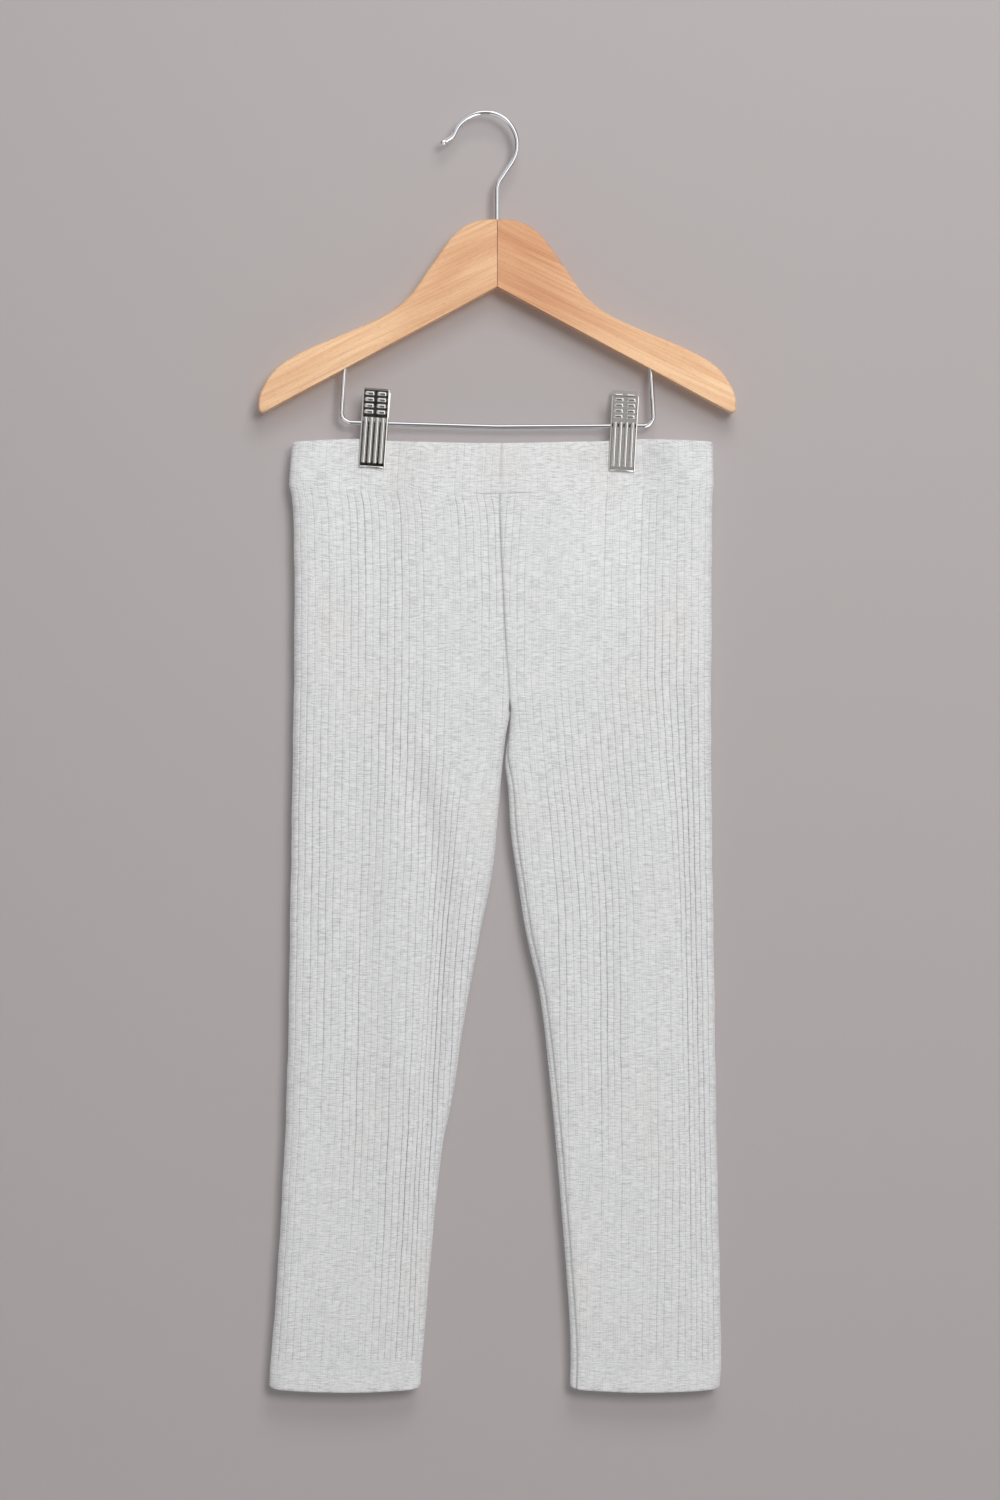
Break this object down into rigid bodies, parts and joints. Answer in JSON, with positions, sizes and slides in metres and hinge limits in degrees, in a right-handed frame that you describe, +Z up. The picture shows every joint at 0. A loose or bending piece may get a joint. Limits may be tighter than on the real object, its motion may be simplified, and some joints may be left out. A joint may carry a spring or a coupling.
{
  "type": "ribbed leggings on a wooden clip hanger",
  "caption": "Child's marled rib-knit leggings with an elastic waistband, hung flat by two metal clips from a wooden hanger with a swivel hook.",
  "frame": {"origin": "the seat of the hook: the inside of its top bend, where it rests on a rail", "axes": "+Z up, the front of the leggings faces -Y, +X to the right as seen from the front"},
  "size_m": [0.2988, 0.029, 0.8026],
  "materials": {
    "rib_knit": "marled grey and off-white rib knit, matt",
    "beech": "satin lacquered beech",
    "chrome_wire": "polished wire",
    "nickel_plate": "nickel-plated pressed steel"
  },
  "bodies": {
    "root": {"leg_left_hip": "rib_knit", "leg_left_thigh": "rib_knit", "leg_left_shin": "rib_knit", "leg_right_hip": "rib_knit", "leg_right_thigh": "rib_knit", "leg_right_shin": "rib_knit", "waistband": "rib_knit", "hem_left": "rib_knit", "hem_right": "rib_knit", "wood_arm_left": "beech", "wood_arm_right": "beech", "hook": "chrome_wire", "trouser_bar": "chrome_wire", "clip_left_front_jaw": "nickel_plate", "clip_left_back_jaw": "nickel_plate", "clip_left_spring": "nickel_plate", "clip_right_front_jaw": "nickel_plate", "clip_right_back_jaw": "nickel_plate", "clip_right_spring": "nickel_plate"}
  },
  "joints": []
}
